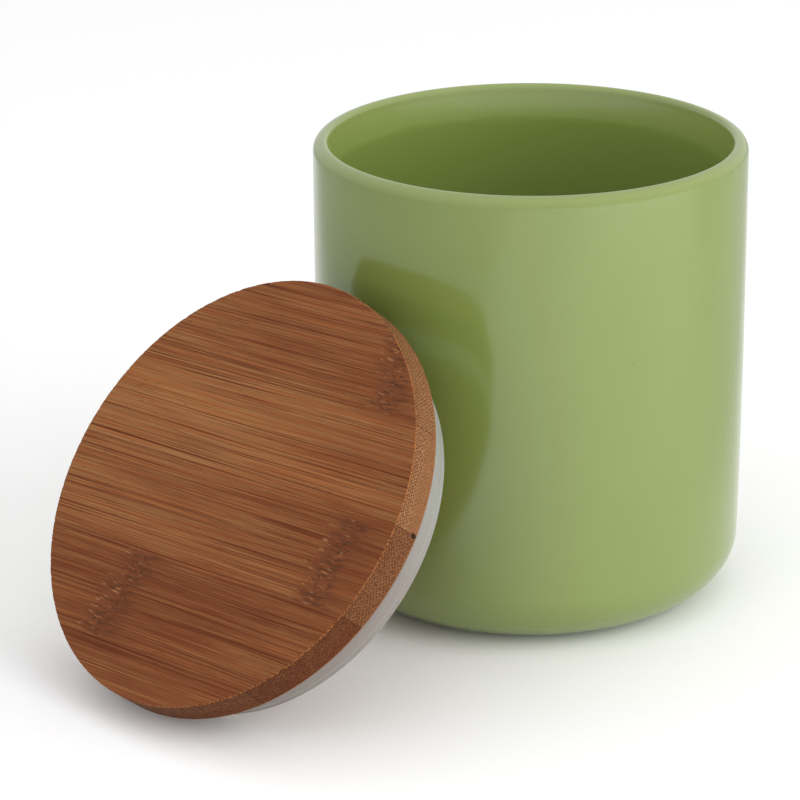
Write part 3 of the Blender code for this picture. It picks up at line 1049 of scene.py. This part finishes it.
FLOOR_RINGS = (0.0, 0.2, 0.6, 1.5, 4.0)
FLOOR_STEPS = 48


def make_floor():
    """A wide round floor: rings of evenly turned points on z = 0."""
    radius = np.array(FLOOR_RINGS)[:, None]
    angle = np.arange(FLOOR_STEPS) * 2 * math.pi / FLOOR_STEPS
    flat = np.zeros((radius.size, FLOOR_STEPS))
    points = np.stack([radius * np.cos(angle), radius * np.sin(angle), flat], axis=-1)
    faces = grid_faces(radius.size, FLOOR_STEPS, round_columns=True)
    floor = make_piece("studio_floor", points.reshape(-1, 3), faces, floor_finish())


def aim(place, target):
    """A light's axes: its z axis points back from the target, and its x axis is level."""
    back = np.array(place, float) - np.array(target, float)
    back /= np.linalg.norm(back)
    right = np.cross([0.0, 0.0, 1.0], back)
    right /= np.linalg.norm(right)
    up = np.cross(back, right)
    return right, up, back


def put(made, place, right, up, back):
    """Puts a light or a camera in its place, with its x, y and z axes along three directions."""
    turn = Matrix(np.array([right, up, back]).T.tolist()).to_4x4()
    made.matrix_world = Matrix.Translation(place) @ turn


def add_softbox(name, place, target, width, height, power):
    """A plain softbox: a rectangle of white light that faces its target, and that the glaze won't mirror."""
    light = bpy.data.lights.new(name, "AREA")
    light.shape = "RECTANGLE"
    light.size = width
    light.size_y = height
    light.energy = power
    made = bpy.data.objects.new(name, light)
    made.visible_camera = False
    made.visible_glossy = False
    bpy.context.scene.collection.objects.link(made)
    put(made, place, *aim(place, target))


# Softboxes: name, place, width, height and power
SOFTBOXES = (
    ("right_softbox", (1.20, -0.66, 0.65), 1.5, 1.2, 13.2),
    ("left_softbox", (-1.0, -0.9, 0.7), 1.4, 1.2, 3.0),
    ("front_softbox", (0.2, -1.1, 1.1), 1.8, 1.6, 2.8),
    ("low_card", (0.40, -0.34, 0.10), 0.45, 0.18, 0.5),
)
SOFTBOX_TARGET = (0.0, 0.0, 0.05)
ROOM_STRENGTH = 0.88


def light_studio():
    """A white room, a large softbox on the right, weak ones on the left and high in front, and a low card."""
    world = bpy.data.worlds.new("white_room")
    bpy.context.scene.world = world
    world.use_nodes = True
    backdrop = world.node_tree.nodes["Background"]
    backdrop.inputs["Color"].default_value = (1.0, 1.0, 1.0, 1.0)
    backdrop.inputs["Strength"].default_value = ROOM_STRENGTH
    for name, place, width, height, power in SOFTBOXES:
        add_softbox(name, place, SOFTBOX_TARGET, width, height, power)


CAMERA_PLACE = (-0.030379, -0.796991, 0.333302)
CAMERA_PITCH = math.radians(19.9076)
CAMERA_ROLL = math.radians(0.4245)
CAMERA_LENS = 162.0


def add_camera():
    """The photo's camera: level direction +y pitched down, then rolled about the line of sight."""
    look = np.array([0.0, math.cos(CAMERA_PITCH), -math.sin(CAMERA_PITCH)])
    level = np.array([1.0, 0.0, 0.0])
    upright = np.array([0.0, math.sin(CAMERA_PITCH), math.cos(CAMERA_PITCH)])
    right = math.cos(CAMERA_ROLL) * level - math.sin(CAMERA_ROLL) * upright
    up = math.sin(CAMERA_ROLL) * level + math.cos(CAMERA_ROLL) * upright
    data = bpy.data.cameras.new("photo_camera")
    data.lens = CAMERA_LENS
    data.sensor_width = 36.0
    data.clip_start = 0.01
    data.clip_end = 20.0
    made = bpy.data.objects.new("photo_camera", data)
    bpy.context.scene.collection.objects.link(made)
    put(made, CAMERA_PLACE, right, up, -look)
    bpy.context.scene.camera = made


bpy.context.scene.view_settings.view_transform = "Standard"
make_jar(glaze_finish())
make_board(strip_finishes("board_bamboo", BOARD_STRIPS, BOARD_LINES, LID_RADIUS, LACQUERED_ROUGHNESS))
make_plug(strip_finishes("plug_bamboo", PLUG_STRIPS, PLUG_LINES, PLUG_RADIUS, TURNED_ROUGHNESS))
make_seal(silicone_finish())
make_floor()
light_studio()
add_camera()
